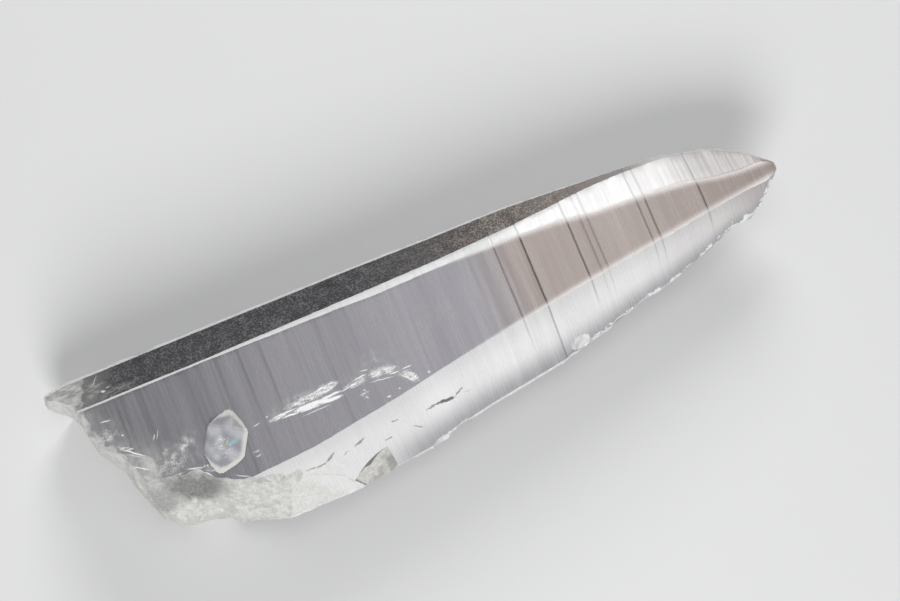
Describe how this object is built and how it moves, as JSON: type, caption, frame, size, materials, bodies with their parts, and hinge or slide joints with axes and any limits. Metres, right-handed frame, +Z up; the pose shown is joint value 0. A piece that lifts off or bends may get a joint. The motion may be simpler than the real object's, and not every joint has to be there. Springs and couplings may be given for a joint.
{
  "type": "lemurian seed quartz crystal",
  "caption": "Long tapering clear quartz point with ladder-like growth steps, a broken root and a small crystal on its broad face.",
  "frame": {"origin": "middle of the bounding box's underside, on the surface that the crystal lies on", "axes": "+X along the crystal towards its tip, +Y across it towards its straight far edge, +Z up, square to its broad top face"},
  "size_m": [0.0926, 0.0262, 0.0162],
  "materials": {
    "quartz": "clear to milky, satin striated faces, frosted break"
  },
  "bodies": {
    "root": {"quartz_crystal": "quartz"}
  },
  "joints": []
}
